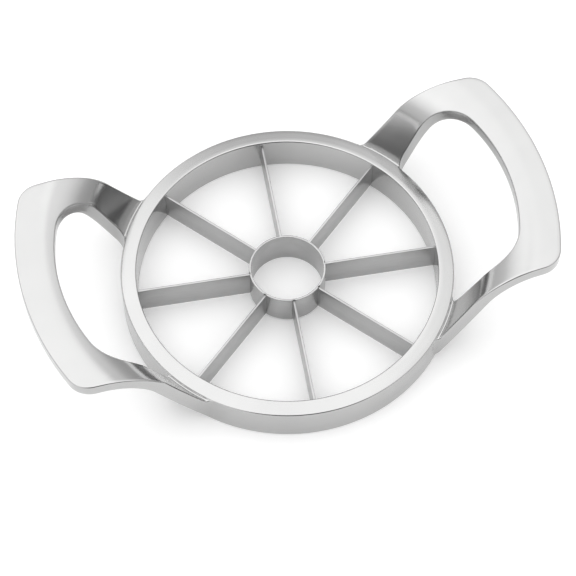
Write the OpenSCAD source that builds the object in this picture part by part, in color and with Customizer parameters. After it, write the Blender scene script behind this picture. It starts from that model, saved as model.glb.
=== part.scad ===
// Hand-held fruit wedger: a cast ring with two raised loop handles, eight
// radial blades and a thin core tube.
// Lengths are in millimetres. The ring stands on z = 0, +Z is up, the common
// axis of ring and core tube is Z, and the two handles reach along +X and -X.

/* [Ring] */
// outside diameter of the cast ring
ring_od = 105; // [102:0.5:108]
// thickness of the ring's wall, from its bore to its outer face
ring_wall = 5; // [4.5:0.25:6]
// height of the ring
ring_h = 13; // [12:0.25:15]
// rounding on the four long edges of the ring
ring_edge_r = 0.8; // [0.4:0.1:1.2]

/* [Handles] */
// distance between the outermost points of the two grips
span = 165.6; // [162:0.2:172]
// width of a handle across its two legs
handle_w = 76.4; // [75:0.2:80]
// height of the grips' highest line above the ring's top face
grip_rise = 24; // [18:0.5:28]
// thickness of the cast plate that forms legs and grip
plate_t = 4.3; // [3.5:0.1:5]
// width of the grip between the loop and the outer edge
grip_w = 11.6; // [10:0.2:14]
// plan radius of the grip's outer edge
grip_arc_r = 87; // [80:1:95]
// plan radius of the rounded outer corners of the handle
corner_r = 10; // [6:0.5:12]
// angle of the legs above the horizontal
leg_slope = 64; // [58:1:68]
// radius of the bend between legs and grip, on the upper face
bend_r = 18; // [14:0.5:20]
// depth below the ring's top face where the legs leave the ring's wall
leg_drop = 2.5; // [1.5:0.25:3]
// height of the legs' blunt lower tip above the table
leg_tip_z = 2.5; // [2.25:0.25:3.5]

/* [Finger loops] */
// largest width of a finger loop, across the handle
loop_w = 58.6; // [56:0.2:60]
// plan radius of the loop's edge under the grip
loop_arc_r = 60; // [56:1:64]
// plan radius of the loop's two outer corners
loop_corner_r = 13; // [11:0.5:14]
// angle between the legs' inner edges and the handle's axis
leg_splay = 14; // [8:1:18]
// radius of the upright fillets between the legs' sides and the ring
root_r = 2.5; // [1.5:0.25:3]

/* [Core tube] */
// outside diameter of the core tube
core_od = 24.2; // [22:0.2:27]
// wall thickness of the core tube
core_wall = 0.7; // [0.6:0.05:1]
// depth of the tube's rim below the ring's top face
core_drop = 0.9; // [0.5:0.1:1.3]
// height of the ground cutting bevel at the tube's lower end
core_bevel = 0.8; // [0.4:0.1:1.5]

/* [Blades] */
// thickness of a blade
blade_t = 0.8; // [0.6:0.05:1]
// depth of the blades' upper edges below the ring's top face
blade_drop = 1.4; // [1.35:0.05:2.5]
// height of the blades' cutting edges above the table
blade_lift = 0.3; // [0.2:0.05:0.6]
// height of the ground wedge along a blade's cutting edge
blade_bevel = 1.6; // [1:0.1:2.5]
// width left on the cutting edge after grinding
edge_flat = 0.12; // [0.08:0.01:0.2]
// angle of the first blade from the handles' axis
blade_turn = -7; // [-10:0.5:10]

/* [Fits] */
// depth of the slots that hold the blades' outer ends in the ring
slot_depth = 2.4; // [2:0.1:3]
// depth of the grooves in the core tube that seat the blades' inner ends
groove_depth = 0.3; // [0.2:0.05:0.35]
// gap between a blade's face and the side of its slot or groove
blade_clear = 0.03; // [0.02:0.01:0.06]

/* [Hidden] */
$fn = 96;

blade_count = 8;
// flat steps along each rounded corner of the handles
arc_steps = 12;
blade_step = 360 / blade_count;
ring_r = ring_od / 2;
bore_r = ring_r - ring_wall;
core_r = core_od / 2;

// upper end of the bend: from here outwards the grip's top is level
top_z = ring_h + grip_rise;
wall_z = ring_h - leg_drop;
bend_drop = bend_r * (1 - cos(leg_slope));
level_r = ring_r + (top_z - wall_z - bend_drop) / tan(leg_slope) + bend_r * sin(leg_slope);
bend_z = top_z - bend_r;
under_r = bend_r - plate_t;
// the legs start inside the ring's wall
start_r = ring_r - ring_wall / 2;
reach = span / 2;
far_r = reach + plate_t;

// plan of the handle: centres of the outer arc, the loop arc and both corners
grip_x = reach - grip_arc_r;
corner_y = handle_w / 2 - corner_r;
corner_x = grip_x + sqrt(pow(grip_arc_r - corner_r, 2) - pow(corner_y, 2));
loop_x = reach - grip_w - loop_arc_r;
loop_cy = loop_w / 2 - loop_corner_r;
loop_cx = loop_x + sqrt(pow(loop_arc_r - loop_corner_r, 2) - pow(loop_cy, 2));
// the legs' inner edge: a tangent of the corner circle, run back to the ring
edge_px = loop_cx - loop_corner_r * sin(leg_splay);
edge_py = loop_cy + loop_corner_r * cos(leg_splay);
// fillet between that edge and the ring: its centre is root_r inside the edge
fillet_r = ring_r + root_r;
inner_off = loop_cy * cos(leg_splay) - loop_cx * sin(leg_splay) + loop_corner_r - root_r;
inner_run = sqrt(pow(fillet_r, 2) - pow(inner_off, 2));
inner_x = inner_run * cos(leg_splay) - inner_off * sin(leg_splay);
inner_y = inner_run * sin(leg_splay) + inner_off * cos(leg_splay);
// fillet between the legs' straight outer edge and the ring
outer_y = handle_w / 2 + root_r;
outer_x = sqrt(pow(fillet_r, 2) - pow(outer_y, 2));

blade_top = ring_h - blade_drop;
blade_in = core_r - groove_depth;
blade_out = bore_r + slot_depth;
slot_w = blade_t + 2 * blade_clear;
core_top = ring_h - core_drop;
core_in = core_r - core_wall;

steel = [0.70, 0.71, 0.72];
cast_metal = [0.80, 0.80, 0.79];

// bar section with four rounded corners, lower left corner at the origin
module rounded_bar(w, h, r) {
    translate([r, 0]) square([w - 2 * r, h]);
    translate([0, r]) square([w, h - 2 * r]);
    for (x = [r, w - r]) {
        for (y = [r, h - r]) {
            translate([x, y]) circle(r);
        }
    }
}

// region below a curve that climbs along the leg and bends over to the level
// grip: x is the distance from the ring's axis, r the radius of the bend
module below_curve(r) {
    s = sin(leg_slope);
    c = cos(leg_slope);
    peak_x = level_r - r * tan(leg_slope / 2);
    low_z = -ring_h;
    difference() {
        polygon([
            [peak_x - (bend_z + r - low_z) / tan(leg_slope), low_z],
            [peak_x, bend_z + r],
            [far_r, bend_z + r],
            [far_r, low_z]
        ]);
        difference() {
            polygon([
                [level_r, bend_z],
                [level_r - 2 * r * s, bend_z + 2 * r * c],
                [level_r - 2 * r * s, bend_z + 2 * r],
                [level_r, bend_z + 2 * r]
            ]);
            translate([level_r, bend_z]) circle(r);
        }
    }
}

// radial section of leg, bend and grip
module plate_section() {
    intersection() {
        difference() {
            below_curve(bend_r);
            below_curve(under_r);
        }
        translate([start_r, leg_tip_z]) square([far_r - start_r, top_z]);
    }
}

// unit vector at an angle in the plan, and points along a rounded edge
function heading(a) = [cos(a), sin(a)];
function arc_points(c, r, a, b) =
    [for (i = [0 : arc_steps]) c + r * heading(a + (b - a) * i / arc_steps)];

// wedge outside a rounded corner: centre c, radius r, and the two angles a and
// b at which the corner's curve touches its edges
module corner_chip(c, r, a, b) {
    polygon(concat(
        [c + 2 * r * heading(a), c + 2 * r * (heading(a) + heading(b)), c + 2 * r * heading(b)],
        arc_points(c, r, b, a)
    ));
}

// outline of one handle, reaching from the ring's axis along +X
module outer_plan() {
    difference() {
        intersection() {
            translate([grip_x, 0]) circle(grip_arc_r);
            translate([0, -handle_w / 2]) square([reach + 1, handle_w]);
        }
        for (m = [0, 1]) {
            mirror([0, m, 0])
                corner_chip([corner_x, corner_y], corner_r, 90, atan2(corner_y, corner_x - grip_x));
        }
    }
    // upright fillets against the ring
    for (m = [0, 1]) {
        mirror([0, m, 0]) polygon(concat(
            [[0, 0], [outer_x, 0]],
            arc_points([outer_x, outer_y], root_r, 270, 180 + atan2(outer_y, outer_x))
        ));
    }
}

// outline of the finger loop, run back to the ring's axis
module loop_plan() {
    edge_a = 90 + leg_splay;
    near_y = edge_py - edge_px * tan(leg_splay);
    far_y = edge_py + (reach - edge_px) * tan(leg_splay);
    difference() {
        intersection() {
            translate([loop_x, 0]) circle(loop_arc_r);
            polygon([[0, -near_y], [0, near_y], [reach, far_y], [reach, -far_y]]);
        }
        for (m = [0, 1]) {
            mirror([0, m, 0]) {
                corner_chip([loop_cx, loop_cy], loop_corner_r, edge_a, atan2(loop_cy, loop_cx - loop_x));
                // upright fillet between the leg and the ring stays solid
                polygon(concat(
                    [[0, 0]],
                    arc_points([inner_x, inner_y], root_r, 180 + atan2(inner_y, inner_x), edge_a),
                    [[inner_x, inner_y] + 2 * root_r * heading(edge_a), [0, loop_w]]
                ));
            }
        }
    }
}

module handle_plan() {
    difference() {
        outer_plan();
        loop_plan();
    }
}

// one handle: the revolved plate section cut to the handle's plan
module handle() {
    intersection() {
        rotate_extrude() plate_section();
        linear_extrude(top_z + 1) handle_plan();
    }
}

// one upright slot for a blade's outer end, open at the ring's lower face
module blade_slot() {
    translate([bore_r - 1, -slot_w / 2, -1])
        cube([slot_depth + 1, slot_w, blade_top + 1]);
}

module body() {
    color(cast_metal)
    difference() {
        union() {
            rotate_extrude() translate([bore_r, 0]) rounded_bar(ring_wall, ring_h, ring_edge_r);
            handle();
            rotate(180) handle();
        }
        for (k = [0 : blade_count - 1]) {
            rotate(blade_turn + k * blade_step) blade_slot();
        }
    }
}

module core_tube() {
    color(steel)
    difference() {
        rotate_extrude() polygon([
            [core_in, 0],
            [core_in + edge_flat, 0],
            [core_r, core_bevel],
            [core_r, core_top],
            [core_in, core_top]
        ]);
        for (k = [0 : blade_count - 1]) {
            rotate(blade_turn + k * blade_step)
                translate([blade_in, -slot_w / 2, -1])
                    cube([core_r, slot_w, ring_h + 2]);
        }
    }
}

// one blade: a flat strip with a ground wedge along its lower edge
module blade(k) {
    mid = blade_t / 2;
    tip = edge_flat / 2;
    color(steel)
    rotate(blade_turn + (k - 1) * blade_step)
        translate([blade_in, 0, 0])
            rotate([90, 0, 90])
                linear_extrude(blade_out - blade_in)
                    polygon([
                        [-tip, blade_lift],
                        [tip, blade_lift],
                        [mid, blade_lift + blade_bevel],
                        [mid, blade_top],
                        [-mid, blade_top],
                        [-mid, blade_lift + blade_bevel]
                    ]);
}

body();
core_tube();
blade(1);  // blade_1
blade(2);  // blade_2
blade(3);  // blade_3
blade(4);  // blade_4
blade(5);  // blade_5
blade(6);  // blade_6
blade(7);  // blade_7
blade(8);  // blade_8
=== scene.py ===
import math
import bpy
import bmesh
from mathutils import Vector, Matrix


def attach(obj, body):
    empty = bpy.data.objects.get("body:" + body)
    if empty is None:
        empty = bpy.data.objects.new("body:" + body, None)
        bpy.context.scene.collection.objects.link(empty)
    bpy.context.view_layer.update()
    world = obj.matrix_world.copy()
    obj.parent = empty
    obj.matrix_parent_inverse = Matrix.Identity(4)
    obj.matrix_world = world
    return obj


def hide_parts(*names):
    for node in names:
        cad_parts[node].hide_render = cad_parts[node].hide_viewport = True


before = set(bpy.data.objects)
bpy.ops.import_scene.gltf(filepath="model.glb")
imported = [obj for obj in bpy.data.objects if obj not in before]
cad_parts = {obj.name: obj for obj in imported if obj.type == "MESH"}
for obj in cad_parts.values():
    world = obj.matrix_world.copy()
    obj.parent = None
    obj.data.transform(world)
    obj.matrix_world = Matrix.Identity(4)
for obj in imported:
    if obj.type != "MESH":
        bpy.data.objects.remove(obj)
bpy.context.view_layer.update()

# ---- White table and studio ------------------------------------------------
# The tool lies on a plain white table under a large soft white ceiling, with
# darker walls low down around it. The room itself is the only light.
scene = bpy.context.scene
scene.view_settings.view_transform = "Standard"
bpy.ops.object.select_all(action="DESELECT")
bpy.ops.mesh.primitive_plane_add(size=3.0, location=(0, 0, 0))
table = bpy.context.object
table.name = "table"


class Num:
    """A number that varies over a surface; arithmetic on it adds Math nodes."""

    def __init__(self, finish, socket):
        self.finish = finish
        self.socket = socket

    def math(self, operation, *others, **extra):
        values = [self.socket] + [o.socket if isinstance(o, Num) else o for o in others]
        return self.finish.node("ShaderNodeMath", dict(operation=operation, **extra), *values)

    def __add__(self, o): return self.math("ADD", o)
    def __sub__(self, o): return self.math("SUBTRACT", o)
    def __mul__(self, o): return self.math("MULTIPLY", o)
    def __radd__(self, o): return self.math("ADD", o)
    def __rmul__(self, o): return self.math("MULTIPLY", o)

    def __rsub__(self, o):
        return self.math("MULTIPLY_ADD", -1.0, o)

    def clamped(self):
        return self.math("MULTIPLY", 1.0, use_clamp=True)


class Finish:
    """One material: its nodes are added by node() and wired by the values given."""

    def __init__(self, name, tree=None):
        if tree is None:
            self.material = bpy.data.materials.new(name)
            self.material.use_nodes = True
            tree = self.material.node_tree
            self.shader = tree.nodes["Principled BSDF"]
        self.tree = tree
        self.coords = tree.nodes.new("ShaderNodeTexCoord")

    def node(self, kind, settings, *values, out=0, **named):
        made = self.tree.nodes.new(kind)
        for key, value in settings.items():
            if key == "stops":
                while len(made.color_ramp.elements) < len(value):
                    made.color_ramp.elements.new(0.5)
                for element, (at, shade) in zip(made.color_ramp.elements, value):
                    element.position = at
                    element.color = (*shade, 1)
            else:
                setattr(made, key, value)
        pairs = list(enumerate(values)) + [(k.replace("_", " "), v) for k, v in named.items()]
        for slot, value in pairs:
            if value is None:
                continue
            if isinstance(value, Num):
                value = value.socket
            if isinstance(value, bpy.types.NodeSocket):
                self.tree.links.new(value, made.inputs[slot])
            else:
                made.inputs[slot].default_value = value
        return Num(self, made.outputs[out])

    def wire(self, **inputs):
        for name, value in inputs.items():
            socket = self.shader.inputs[name.replace("_", " ")]
            if isinstance(value, Num):
                self.tree.links.new(value.socket, socket)
            else:
                socket.default_value = value

    def place(self):
        return Num(self, self.coords.outputs["Object"])


table_white = Finish("table_white")
cloudy = table_white.node("ShaderNodeTexNoise", {}, table_white.place(), Scale=9.0, Detail=2.0)
table_white.wire(
    Base_Color=table_white.node(
        "ShaderNodeMix", {"data_type": "RGBA"}, None, None, None, None, None, None,
        (0.955, 0.955, 0.955, 1), (0.965, 0.965, 0.965, 1), out=2, Factor=cloudy,
    ),
    Roughness=0.85,
)
table_white.shader.inputs["Specular IOR Level"].default_value = 0.0
# the camera and the metal both see the table's own white a little lifted
seen_white = table_white.node("ShaderNodeLightPath", {}, out=0).math(
    "MAXIMUM", table_white.node("ShaderNodeLightPath", {}, out=3),
).math("MAXIMUM", table_white.node("ShaderNodeLightPath", {}, out=6))
table_white.wire(Emission_Color=seen_white, Emission_Strength=0.10)
table.data.materials.append(table_white.material)

world = bpy.data.worlds.new("studio")
scene.world = world
world.use_nodes = True
room = Finish("studio", world.node_tree)
sky = Num(room, room.coords.outputs["Generated"])
sky_x = room.node("ShaderNodeSeparateXYZ", {}, sky, out=0)
sky_y = room.node("ShaderNodeSeparateXYZ", {}, sky, out=1)
sky_z = room.node("ShaderNodeSeparateXYZ", {}, sky, out=2)
# metal sees a soft white ceiling that fades down to grey walls, a paler one on
# the left and a darker one on the right, and the dark room behind the viewer
CEILING = 1.90
SOFT = {"interpolation_type": "SMOOTHSTEP"}
fade = room.node(
    "ShaderNodeValToRGB",
    {"stops": [
        (0.0, (0.35, 0.35, 0.35)), (0.22, (0.42, 0.42, 0.42)), (0.38, (0.49, 0.49, 0.49)),
        (0.50, (0.66, 0.66, 0.66)), (0.65, (0.85, 0.85, 0.85)), (0.78, (1.0, 1.0, 1.0)),
    ]},
    sky_z,
)
left_wall = room.node("ShaderNodeMapRange", {}, sky_x, -0.5, -0.1, 0.30, 0.0)
right_wall = room.node("ShaderNodeMapRange", SOFT, sky_x, 0.26, 0.40, 1.0, 0.80)
# a darker strip of the back wall, which the far side of the ring's top shows
back_dark = room.node("ShaderNodeMapRange", SOFT, sky_y, 0.53, 0.72, 0.0, 0.46)
strip_off = (sky_x - 0.2).math("ABSOLUTE")
strip_edge = room.node("ShaderNodeMapRange", SOFT, strip_off, 0.10, 0.26, 1.0, 0.0)
back_wall = 1 - back_dark * strip_edge
aside = (sky_x + 0.15).math("ABSOLUTE")
viewer_dark = room.node(
    "ShaderNodeMapRange", SOFT, -1.0 * sky_y - 0.6 * aside, 0.32, 0.62, 1.0, 0.10,
)
walls = right_wall * back_wall * viewer_dark
seen_by_metal = CEILING * fade * (1 + left_wall * (1 - sky_z)) * walls
# the table is lit evenly, most from straight above
on_table = 0.36 + 1.14 * sky_z
diffuse_ray = room.node("ShaderNodeLightPath", {}, out=2)
light = on_table * diffuse_ray + seen_by_metal * (1 - diffuse_ray)
world.node_tree.links.new(light.socket, world.node_tree.nodes["Background"].inputs["Color"])
world.node_tree.nodes["Background"].inputs["Strength"].default_value = 1.0

# ---- Camera ----------------------------------------------------------------
# A long lens looking down at 59 degrees, a little to the left of the front,
# rolled by less than half a degree, as the photograph was taken.
BACK = Vector((-0.15262, -0.48700, 0.85990)).normalized()
AIM = Vector((-0.00214, -0.00765, 0.013))
DISTANCE = 0.63833
level_right = Vector((0, 0, 1)).cross(BACK).normalized()
level_up = BACK.cross(level_right)
roll = math.radians(0.398)
right = level_right * math.cos(roll) + level_up * math.sin(roll)
up = BACK.cross(right)
bpy.ops.object.camera_add()
camera = bpy.context.object
turned = Matrix((right, up, BACK)).transposed().to_4x4()
camera.matrix_world = Matrix.Translation(AIM + BACK * DISTANCE) @ turned
camera.data.sensor_width = 36.0
camera.data.lens = 127.79
scene.camera = camera

# ---- Cast body: ring -------------------------------------------------------
# The cast ring is one heavy band, 5 mm thick and 13 mm high, with all four of
# its long edges rounded. Its lower face rests on the table, and its top face
# falls a little towards the outside.
RING_R = 0.05248
BORE_R = 0.0475
RING_H = 0.013
EDGE_R = 0.0005
TOP_FALL = 0.0006
RING_STEPS = 256
bpy.ops.object.select_all(action="DESELECT")
bpy.ops.mesh.primitive_plane_add(size=1)
body = bpy.context.object
body.name = "cast_body"
for v in body.data.vertices:
    fall = TOP_FALL if v.co.x > 0 and v.co.y > 0 else 0
    v.co = ((RING_R + BORE_R) / 2 + v.co.x * (RING_R - BORE_R), 0, RING_H * (v.co.y + 0.5) - fall)
bpy.ops.object.mode_set(mode="EDIT")
bpy.ops.mesh.select_all(action="SELECT")
bpy.ops.mesh.bevel(affect="VERTICES", offset=EDGE_R, segments=6, profile=0.5)
bpy.ops.mesh.select_all(action="SELECT")
bpy.ops.mesh.delete(type="ONLY_FACE")
bpy.ops.mesh.select_all(action="SELECT")
bpy.ops.mesh.subdivide(number_cuts=2)
bpy.ops.mesh.spin(steps=RING_STEPS, angle=2 * math.pi, center=(0, 0, 0), axis=(0, 0, 1))
bpy.ops.mesh.select_all(action="SELECT")
bpy.ops.mesh.remove_doubles(threshold=2e-6)
bpy.ops.mesh.normals_make_consistent(inside=False)
bpy.ops.object.mode_set(mode="OBJECT")

# ---- Cast body: handles ----------------------------------------------------
# Each handle is a plate that climbs from the ring's wall in two legs, bends
# over and runs level around a finger loop. Its edges are all rounded, and the
# legs' sides flare into the ring. A flat grid is wrapped round the section and
# led along the loop from one leg's root to the other's.
PLATE_T = 0.0043
LEG_SLOPE = math.radians(64)
BEND_R = 0.018
GRIP_RISE = 0.024
TOP_Z = RING_H + GRIP_RISE
LEG_TIP_Z = 0.0025
BEND_Z = TOP_Z - BEND_R
LEG_DROP = 0.0025
GROOVE_R = 0.0004
LEG_RISE = TOP_Z - RING_H + LEG_DROP - BEND_R * (1 - math.cos(LEG_SLOPE))
LEVEL_R = RING_R + LEG_RISE / math.tan(LEG_SLOPE) + BEND_R * math.sin(LEG_SLOPE)
REACH, GRIP_W = 0.0828, 0.0116
GRIP_ARC, CORNER_R, HALF_W = 0.087, 0.0075, 0.0382
# the legs' outer edges draw in a little towards the grip
TAPER = math.radians(2.2)
LOOP_ARC, LOOP_CORNER, LOOP_HALF = 0.060, 0.013, 0.0293
SPLAY = math.radians(14)
ROOT_R = 0.0025
ROUND = 0.0005
SUNK = 0.002
THINNEST = 0.0002


def heading(a):
    """Unit vector at an angle in the plan."""
    return Vector((math.cos(a), math.sin(a)))


def bend_curve(radius, r):
    """Height of a leg, bend and grip curve at distance r, and its upper normal."""
    s, c = math.sin(LEG_SLOPE), math.cos(LEG_SLOPE)
    if r >= LEVEL_R:
        return BEND_Z + radius, Vector((0.0, 1.0))
    if r > LEVEL_R - radius * s:
        rise = math.sqrt(radius ** 2 - (LEVEL_R - r) ** 2)
        return BEND_Z + rise, Vector((r - LEVEL_R, rise)) / radius
    return BEND_Z + radius * c - (LEVEL_R - radius * s - r) * math.tan(LEG_SLOPE), Vector((-s, c))


def groove_curve(r, z, n):
    """The upper curve, with a small cast fillet where the leg leaves the ring's wall."""
    s, c = math.sin(LEG_SLOPE), math.cos(LEG_SLOPE)
    hollow = GROOVE_R + ROUND
    mid_r = RING_R + GROOVE_R
    mid_z = RING_H - LEG_DROP + GROOVE_R * (s + 1) / c
    if r >= mid_r + hollow * s:
        return z, n
    across = max(r - mid_r, -0.98 * hollow)
    drop = math.sqrt(hollow ** 2 - across ** 2)
    return mid_z - drop, Vector((-across, drop)) / hollow


def arc(centre, radius, a, b, steps, facing):
    """Points along an arc with their outward normals, without the last one."""
    out = []
    for i in range(steps):
        u = heading(a + (b - a) * i / steps)
        out.append((centre + radius * u, u * facing))
    return out


def run(start, end, normal, steps):
    """Points along a straight edge with its outward normal, without the last one."""
    return [(start.lerp(end, i / steps), normal) for i in range(steps)]


grip_x = REACH - GRIP_ARC
flare_r = RING_R + ROOT_R
edge_n, edge_u = heading(math.pi / 2 - TAPER), heading(-TAPER)
edge_off = Vector((math.sqrt(flare_r ** 2 - (HALF_W + ROOT_R) ** 2), HALF_W)).dot(edge_n)
grip_c = Vector((grip_x, 0))
corner_off = edge_off - CORNER_R
corner_run = math.sqrt((GRIP_ARC - CORNER_R) ** 2 - (corner_off - grip_c.dot(edge_n)) ** 2)
corner_c = edge_n * corner_off + edge_u * (grip_c.dot(edge_u) + corner_run)
loop_x = REACH - GRIP_W - LOOP_ARC
loop_c = Vector((0.0, LOOP_HALF - LOOP_CORNER))
loop_c.x = loop_x + math.sqrt((LOOP_ARC - LOOP_CORNER) ** 2 - loop_c.y ** 2)
root_off = edge_off + ROOT_R
outer_root = edge_n * root_off + edge_u * math.sqrt(flare_r ** 2 - root_off ** 2)
side = heading(SPLAY + math.pi / 2)
offset = loop_c.dot(side) + LOOP_CORNER - ROOT_R
inner_root = heading(SPLAY) * math.sqrt(flare_r ** 2 - offset ** 2) + side * offset
outer_turn = math.atan2(corner_c.y, corner_c.x - grip_x)
loop_turn = math.atan2(loop_c.y, loop_c.x - loop_x)
outer_in = math.atan2(outer_root.y, outer_root.x)
inner_in = math.atan2(inner_root.y, inner_root.x)
# points along each root, leg, corner and half grip
ROOT_STEPS, LEG_STEPS, CORNER_STEPS, GRIP_STEPS = 10, 44, 22, 34
outer_half = (
    arc(outer_root, ROOT_R, math.pi + outer_in, 1.5 * math.pi - TAPER, ROOT_STEPS, -1)
    + run(outer_root - ROOT_R * edge_n, corner_c + CORNER_R * edge_n, edge_n, LEG_STEPS)
    + arc(corner_c, CORNER_R, math.pi / 2 - TAPER, outer_turn, CORNER_STEPS, 1)
    + arc(grip_c, GRIP_ARC, outer_turn, 0, GRIP_STEPS, 1)
)
inner_half = (
    arc(inner_root, ROOT_R, math.pi + inner_in, SPLAY + math.pi / 2, ROOT_STEPS, -1)
    + run(inner_root + ROOT_R * side, loop_c + LOOP_CORNER * side, -side, LEG_STEPS)
    + arc(loop_c, LOOP_CORNER, SPLAY + math.pi / 2, loop_turn, CORNER_STEPS, -1)
    + arc(Vector((loop_x, 0)), LOOP_ARC, loop_turn, 0, GRIP_STEPS, -1)
)
# the ends are sunk into the ring's wall
outer_half.insert(0, (outer_half[0][0] - SUNK * heading(outer_in), outer_half[0][1]))
inner_half.insert(0, (inner_half[0][0] - SUNK * heading(inner_in), inner_half[0][1]))
outer_half.append((Vector((REACH, 0)), Vector((1, 0))))
inner_half.append((Vector((loop_x + LOOP_ARC, 0)), Vector((-1, 0))))
flip = Vector((1, -1))
outer_edge = outer_half + [(p * flip, n * flip) for p, n in reversed(outer_half[:-1])]
inner_edge = inner_half + [(p * flip, n * flip) for p, n in reversed(inner_half[:-1])]

# points across the plate, round each of its edges and up its sides
ACROSS, TURN, WALL = 14, 7, 3


def section(outer, inner):
    """Closed loop of points round the plate between two edge points."""
    (po, no), (pi, ni) = outer, inner
    co, ci = po - no * ROUND, pi - ni * ROUND
    rows = {}
    for name, radius, way_up in (("top", BEND_R - ROUND, 1), ("under", BEND_R - PLATE_T + ROUND, -1)):
        row = []
        for i in range(ACROSS + 1):
            p = ci.lerp(co, i / ACROSS)
            z, n = bend_curve(radius, p.length)
            if way_up > 0:
                z, n = groove_curve(p.length, z, n)
            elif z < LEG_TIP_Z + ROUND:
                z, n = LEG_TIP_Z + ROUND, Vector((0, 1))
            n3 = Vector((n.x * p.x / p.length, n.x * p.y / p.length, n.y)) * way_up
            row.append((Vector((p.x, p.y, z)), n3))
        rows[name] = row
    for (ct, _), (cb, _) in zip(rows["top"], rows["under"]):
        ct.z = max(ct.z, cb.z + THINNEST)
    loop = [c + ROUND * n for c, n in rows["top"]]
    for wall_n, k in ((no, -1), (ni, 0)):
        w = Vector((wall_n.x, wall_n.y, 0))
        (ct, nt), (cb, nb) = rows["top"][k], rows["under"][k]
        corner = [ct + ROUND * nt.slerp(w, i / TURN) for i in range(1, TURN + 1)]
        corner += [(ct + ROUND * w).lerp(cb + ROUND * w, i / WALL) for i in range(1, WALL)]
        corner += [cb + ROUND * w.slerp(nb, i / TURN) for i in range(TURN + 1)]
        if k == -1:
            loop += corner
            loop += [c + ROUND * n for c, n in reversed(rows["under"])][1:-1]
        else:
            loop += reversed(corner)
    return loop + [loop[0]]


rings = [section(o, i) for o, i in zip(outer_edge, inner_edge)]
bpy.ops.object.select_all(action="DESELECT")
bpy.ops.mesh.primitive_grid_add(x_subdivisions=len(rings) - 1, y_subdivisions=len(rings[0]) - 1, size=1)
handle = bpy.context.object
handle.name = "handle_right"
for v in handle.data.vertices:
    along = round((v.co.x + 0.5) * (len(rings) - 1))
    around = round((v.co.y + 0.5) * (len(rings[0]) - 1))
    v.co = rings[along][around]
bpy.ops.object.mode_set(mode="EDIT")
bpy.ops.mesh.select_all(action="SELECT")
bpy.ops.mesh.remove_doubles(threshold=1e-6)
bpy.ops.mesh.select_all(action="DESELECT")
bpy.ops.mesh.select_non_manifold()
bpy.ops.mesh.fill_holes(sides=0)
bpy.ops.mesh.select_all(action="SELECT")
bpy.ops.mesh.normals_make_consistent(inside=False)
bpy.ops.object.mode_set(mode="OBJECT")
bpy.ops.object.duplicate()
handle_left = bpy.context.object
handle_left.name = "handle_left"
handle_left.rotation_euler.z = math.pi
bpy.ops.object.transform_apply(rotation=True)

# ---- Cast body: slots ------------------------------------------------------
# Eight upright slots in the ring's bore, open below, hold the blades' ends.
BLADE_TURN = math.radians(-7)
BLADE_STEP = math.radians(45)
BLADE_COUNT = 8
BLADE_T = 0.0008
BLADE_TOP = RING_H - 0.0014
SLOT_DEPTH = 0.0024
SLOT_W = BLADE_T + 0.00006
bpy.ops.object.select_all(action="DESELECT")
slots = []
for k in range(BLADE_COUNT):
    a = BLADE_TURN + k * BLADE_STEP
    reach = BORE_R + SLOT_DEPTH / 2 - 0.0005
    bpy.ops.mesh.primitive_cube_add(
        size=1, location=(reach * math.cos(a), reach * math.sin(a), BLADE_TOP / 2 - 0.0005),
        rotation=(0, 0, a), scale=(SLOT_DEPTH + 0.001, SLOT_W, BLADE_TOP + 0.001),
    )
    slots.append(bpy.context.object)
for s in slots:
    s.select_set(True)
bpy.context.view_layer.objects.active = slots[0]
bpy.ops.object.join()
bpy.ops.object.transform_apply(location=True, rotation=True, scale=True)
slot_cutter = bpy.context.object

for name, operation, tool in (
    ("right", "UNION", handle), ("left", "UNION", handle_left), ("slots", "DIFFERENCE", slot_cutter),
):
    bpy.ops.object.select_all(action="DESELECT")
    body.select_set(True)
    bpy.context.view_layer.objects.active = body
    join = body.modifiers.new(name, "BOOLEAN")
    join.operation = operation
    join.solver = "EXACT"
    join.object = tool
    bpy.ops.object.modifier_apply(modifier=name)
    bpy.data.objects.remove(tool)
bpy.ops.object.mode_set(mode="EDIT")
bpy.ops.mesh.select_all(action="SELECT")
bpy.ops.mesh.remove_doubles(threshold=2e-6)
bpy.ops.object.mode_set(mode="OBJECT")
bpy.ops.object.shade_smooth_by_angle(angle=math.radians(32))

# satin chrome over a smooth casting, with faint hazy patches and fine wear
cast_chrome = Finish("satin_chrome")
haze = cast_chrome.node("ShaderNodeTexNoise", {}, cast_chrome.place(), Scale=38.0, Detail=3.0, Roughness=0.55)
grain = cast_chrome.node("ShaderNodeTexNoise", {}, cast_chrome.place(), Scale=2600.0, Detail=2.0, Roughness=0.6)
peel = cast_chrome.node("ShaderNodeTexNoise", {}, cast_chrome.place(), Scale=420.0, Detail=2.0, Roughness=0.5)
cast_chrome.wire(
    Base_Color=cast_chrome.node(
        "ShaderNodeValToRGB", {"stops": [(0.3, (0.445, 0.445, 0.444)), (0.7, (0.478, 0.477, 0.475))]}, haze,
    ),
    Metallic=1.0,
    Roughness=(haze * 0.06 + grain * 0.05 + 0.13).clamped(),
    Normal=cast_chrome.node(
        "ShaderNodeBump", {}, Strength=0.10, Distance=0.00002, Height=peel * 0.7 + grain * 0.3,
    ),
)
body.data.materials.clear()
body.data.materials.append(cast_chrome.material)
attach(body, "root")
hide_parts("body")

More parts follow.
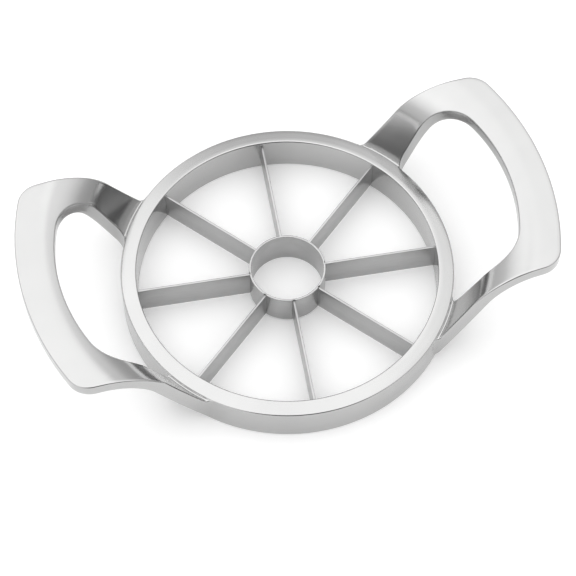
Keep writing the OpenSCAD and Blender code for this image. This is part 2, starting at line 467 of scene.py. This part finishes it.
# ---- Core tube -------------------------------------------------------------
# A thin steel tube stands in the middle, its lower end ground to a cutting
# edge from outside. Eight upright grooves in it seat the blades' inner ends.
TUBE_R = 0.0121
TUBE_IN = 0.0114
TUBE_TOP = RING_H - 0.0009
TUBE_BEVEL = 0.0008
LIP_R = 0.00014
SEAT_DEPTH = 0.0003
bpy.ops.object.select_all(action="DESELECT")
bpy.ops.mesh.primitive_plane_add(size=1)
tube = bpy.context.object
tube.name = "steel_tube"
profile = {
    (-1, -1): (TUBE_IN, 0.0), (1, -1): (TUBE_IN + 0.00012, 0.0),
    (-1, 1): (TUBE_IN, TUBE_TOP), (1, 1): (TUBE_R, TUBE_TOP),
}
for v in tube.data.vertices:
    x, z = profile[(1 if v.co.x > 0 else -1, 1 if v.co.y > 0 else -1)]
    v.co = (x, 0, z)
tube_mesh = bmesh.new()
tube_mesh.from_mesh(tube.data)
for e in tube_mesh.edges:
    if all(v.co.x > TUBE_IN + 0.0001 for v in e.verts):
        low = min(e.verts, key=lambda v: v.co.z)
        bmesh.utils.edge_split(e, low, 0.5)[1].co = (TUBE_R, 0, TUBE_BEVEL)
        break
tube_mesh.to_mesh(tube.data)
tube_mesh.free()
bpy.ops.object.mode_set(mode="EDIT")
bpy.ops.mesh.select_all(action="DESELECT")
bpy.ops.object.mode_set(mode="OBJECT")
for v in tube.data.vertices:
    v.select = v.co.z > TUBE_TOP - 0.0001
bpy.ops.object.mode_set(mode="EDIT")
bpy.ops.mesh.bevel(affect="VERTICES", offset=LIP_R, segments=3, profile=0.5)
bpy.ops.mesh.select_all(action="SELECT")
bpy.ops.mesh.delete(type="ONLY_FACE")
bpy.ops.mesh.select_all(action="SELECT")
bpy.ops.mesh.spin(steps=144, angle=2 * math.pi, center=(0, 0, 0), axis=(0, 0, 1))
bpy.ops.mesh.select_all(action="SELECT")
bpy.ops.mesh.remove_doubles(threshold=2e-6)
bpy.ops.mesh.normals_make_consistent(inside=False)
bpy.ops.object.mode_set(mode="OBJECT")
bpy.ops.object.select_all(action="DESELECT")
grooves = []
for k in range(BLADE_COUNT):
    a = BLADE_TURN + k * BLADE_STEP
    out = TUBE_R - SEAT_DEPTH + 0.001
    bpy.ops.mesh.primitive_cube_add(
        size=1, location=(out * math.cos(a), out * math.sin(a), RING_H / 2),
        rotation=(0, 0, a), scale=(0.002, SLOT_W, RING_H + 0.002),
    )
    grooves.append(bpy.context.object)
for g in grooves:
    g.select_set(True)
bpy.context.view_layer.objects.active = grooves[0]
bpy.ops.object.join()
bpy.ops.object.transform_apply(location=True, rotation=True, scale=True)
groove_cutter = bpy.context.object
bpy.ops.object.select_all(action="DESELECT")
tube.select_set(True)
bpy.context.view_layer.objects.active = tube
cut = tube.modifiers.new("grooves", "BOOLEAN")
cut.operation = "DIFFERENCE"
cut.solver = "EXACT"
cut.object = groove_cutter
bpy.ops.object.modifier_apply(modifier="grooves")
bpy.data.objects.remove(groove_cutter)
bpy.ops.object.shade_smooth_by_angle(angle=math.radians(30))

# bright drawn steel with fine turned lines round the tube
turned_steel = Finish("turned_steel")
squeezed = turned_steel.node(
    "ShaderNodeVectorMath", {"operation": "MULTIPLY"}, turned_steel.place(), (90.0, 90.0, 5200.0),
)
lines = turned_steel.node("ShaderNodeTexNoise", {}, squeezed, Scale=1.0, Detail=3.0, Roughness=0.6)
smudge = turned_steel.node("ShaderNodeTexNoise", {}, turned_steel.place(), Scale=160.0, Detail=2.0)
turned_steel.wire(
    Base_Color=turned_steel.node(
        "ShaderNodeValToRGB", {"stops": [(0.3, (0.37, 0.37, 0.37)), (0.7, (0.43, 0.43, 0.43))]}, smudge,
    ),
    Metallic=1.0,
    Roughness=(lines * 0.12 + smudge * 0.06 + 0.14).clamped(),
    Normal=turned_steel.node("ShaderNodeBump", {}, Strength=0.12, Distance=0.00002, Height=lines),
)
tube.data.materials.clear()
tube.data.materials.append(turned_steel.material)
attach(tube, "root")
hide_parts("core_tube")

# ---- Blades ----------------------------------------------------------------
# Eight flat strips of stainless steel stand upright between tube and ring,
# ground to a wedge along their lower edge. Their ends sit in grooves of the
# tube and slots of the ring.
BLADE_IN = TUBE_R - SEAT_DEPTH
BLADE_OUT = BORE_R + SLOT_DEPTH
BLADE_LOW = 0.0003
BLADE_BEVEL = 0.0016
bpy.ops.object.select_all(action="DESELECT")
bpy.ops.mesh.primitive_cube_add(size=1)
strip = bpy.context.object
for v in strip.data.vertices:
    x = BLADE_OUT if v.co.x > 0 else BLADE_IN
    y = BLADE_T / 2 if v.co.y > 0 else -BLADE_T / 2
    v.co = (x, y, BLADE_TOP if v.co.z > 0 else BLADE_LOW + BLADE_BEVEL)
bpy.ops.object.mode_set(mode="EDIT")
bpy.ops.mesh.select_all(action="DESELECT")
bpy.ops.object.mode_set(mode="OBJECT")
for f in strip.data.polygons:
    f.select = f.normal.z < -0.5
bpy.ops.object.mode_set(mode="EDIT")
bpy.ops.mesh.extrude_region_move(TRANSFORM_OT_translate={"value": (0, 0, -BLADE_BEVEL)})
bpy.ops.transform.resize(value=(1, 0.15, 1), center_override=(0, 0, 0))
bpy.ops.mesh.select_all(action="DESELECT")
bpy.ops.object.mode_set(mode="OBJECT")
for e in strip.data.edges:
    ends = [strip.data.vertices[i].co for i in e.vertices]
    along = abs(ends[0].x - ends[1].x) > 0.01
    e.select = along and all(c.z > BLADE_TOP - 0.0001 for c in ends)
bpy.ops.object.mode_set(mode="EDIT")
bpy.ops.mesh.select_mode(type="EDGE")
bpy.ops.mesh.bevel(offset=LIP_R, segments=3, profile=0.5)
bpy.ops.mesh.select_all(action="DESELECT")
bpy.ops.object.mode_set(mode="OBJECT")
bpy.ops.object.shade_smooth_by_angle(angle=math.radians(40))

# brushed stainless: fine lines along the strip, pattern laid along the radius
brushed = Finish("brushed_blade_steel")
flat_place = brushed.node("ShaderNodeVectorMath", {"operation": "MULTIPLY"}, brushed.place(), (1.0, 1.0, 0.0))
radius = brushed.node("ShaderNodeVectorMath", {"operation": "LENGTH"}, flat_place, out=1)
height = brushed.node("ShaderNodeSeparateXYZ", {}, brushed.place(), out=2)
stroke = brushed.node("ShaderNodeCombineXYZ", {}, radius * 130.0, height * 5200.0, 0.0)
hair = brushed.node("ShaderNodeTexNoise", {}, stroke, Scale=1.0, Detail=3.0, Roughness=0.65)
broad = brushed.node("ShaderNodeTexNoise", {}, brushed.place(), Scale=120.0, Detail=2.0)
brushed.wire(
    Base_Color=brushed.node(
        "ShaderNodeValToRGB", {"stops": [(0.3, (0.37, 0.37, 0.37)), (0.7, (0.45, 0.45, 0.45))]}, hair,
    ),
    Metallic=1.0,
    Roughness=(hair * 0.16 + broad * 0.06 + 0.20).clamped(),
    Normal=brushed.node("ShaderNodeBump", {}, Strength=0.15, Distance=0.00002, Height=hair),
)
strip.data.materials.clear()
strip.data.materials.append(brushed.material)
for k in range(BLADE_COUNT):
    blade = strip.copy()
    blade.data = strip.data.copy()
    blade.name = f"steel_blade_{k + 1}"
    blade.data.transform(Matrix.Rotation(BLADE_TURN + k * BLADE_STEP, 4, "Z"))
    bpy.context.collection.objects.link(blade)
    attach(blade, "root")
    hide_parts(f"blade_{k + 1}")
bpy.data.objects.remove(strip)

# ---- Final update ----------------------------------------------------------
bpy.context.view_layer.update()
